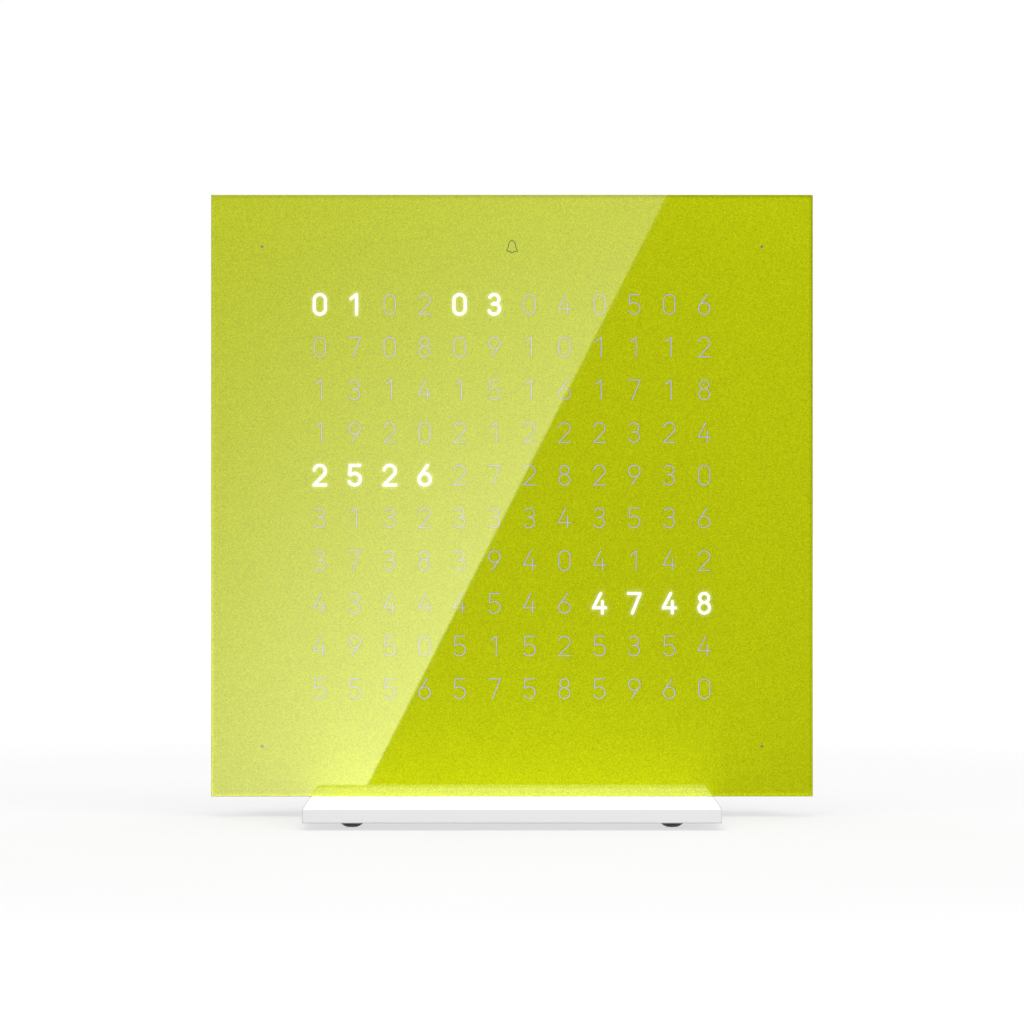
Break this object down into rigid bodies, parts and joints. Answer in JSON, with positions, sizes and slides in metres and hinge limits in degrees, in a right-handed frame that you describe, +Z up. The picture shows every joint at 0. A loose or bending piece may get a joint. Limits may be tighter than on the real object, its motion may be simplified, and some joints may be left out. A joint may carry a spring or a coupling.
{
  "type": "word clock",
  "caption": "Square desk clock with a glossy lime face of small characters, some of them lit, standing upright on a thin white base plate with rubber feet.",
  "frame": {"origin": "centre of the base plate's footprint, on the surface the feet stand on", "axes": "+Z up, the face looks along -Y, +X to the right as seen from the front"},
  "size_m": [0.135, 0.0886, 0.1396],
  "materials": {
    "clear_acrylic": "polished",
    "lime_print": "gloss",
    "translucent_white": "satin",
    "white_plastic": "satin",
    "diffuser_white": "matte",
    "clear_pipe": "gloss",
    "zinc_steel": "satin",
    "nickel": "gloss",
    "board_white": "satin",
    "led_package": "satin",
    "black_moulding": "matte",
    "can_aluminium": "satin",
    "switch_grey": "satin",
    "button_grey": "satin",
    "brass": "satin",
    "copper": "satin",
    "white_powder_coat": "satin",
    "dark_rubber": "matte"
  },
  "bodies": {
    "housing": {"front_frame": "white_plastic", "magnets": "nickel", "light_pipes": "clear_pipe", "diffuser_sheet": "diffuser_white", "light_grid": "diffuser_white", "led_board": "board_white", "leds": "led_package", "microcontroller": "black_moulding", "led_drivers": "black_moulding", "clock_crystal": "nickel", "capacitors": "can_aluminium", "voltage_regulator": "black_moulding", "buzzer": "black_moulding", "coin_cell_holder": "black_moulding", "coin_cell": "nickel", "cell_contact": "nickel", "switch_bodies": "black_moulding", "dc_jack": "black_moulding", "dc_jack_pin": "brass", "rear_shell": "white_plastic", "housing_screws": "zinc_steel", "board_screws": "zinc_steel", "touch_electrode": "copper", "touch_contact": "nickel", "stand_neck": "white_powder_coat", "base_plate": "white_powder_coat", "base_screws": "zinc_steel", "threaded_inserts": "brass", "rubber_feet": "dark_rubber"},
    "front_cover": {"cover_plate": "clear_acrylic", "cover_print": "lime_print", "window_film": "translucent_white", "strike_discs": "zinc_steel"},
    "mode_key": {"mode_button": "button_grey", "mode_plunger": "switch_grey"},
    "minus_key": {"minus_button": "button_grey", "minus_plunger": "switch_grey"},
    "plus_key": {"plus_button": "button_grey", "plus_plunger": "switch_grey"},
    "battery_cover": {"battery_door": "white_plastic"}
  },
  "joints": [
    {"name": "cover_lift", "type": "slide", "parent": "housing", "child": "front_cover", "axis": [0, -1, 0], "range_m": [0, 0.04]},
    {"name": "mode_press", "type": "slide", "parent": "housing", "child": "mode_key", "axis": [0, -1, 0], "range_m": [0, 0.0005], "stiffness_N_per_m": 1600, "springref_m": -0.0005},
    {"name": "minus_press", "type": "slide", "parent": "housing", "child": "minus_key", "axis": [0, -1, 0], "range_m": [0, 0.0005], "stiffness_N_per_m": 1600, "springref_m": -0.0005},
    {"name": "plus_press", "type": "slide", "parent": "housing", "child": "plus_key", "axis": [0, -1, 0], "range_m": [0, 0.0005], "stiffness_N_per_m": 1600, "springref_m": -0.0005},
    {"name": "battery_cover_lift", "type": "slide", "parent": "housing", "child": "battery_cover", "axis": [0, 1, 0], "range_m": [0, 0.012]}
  ]
}
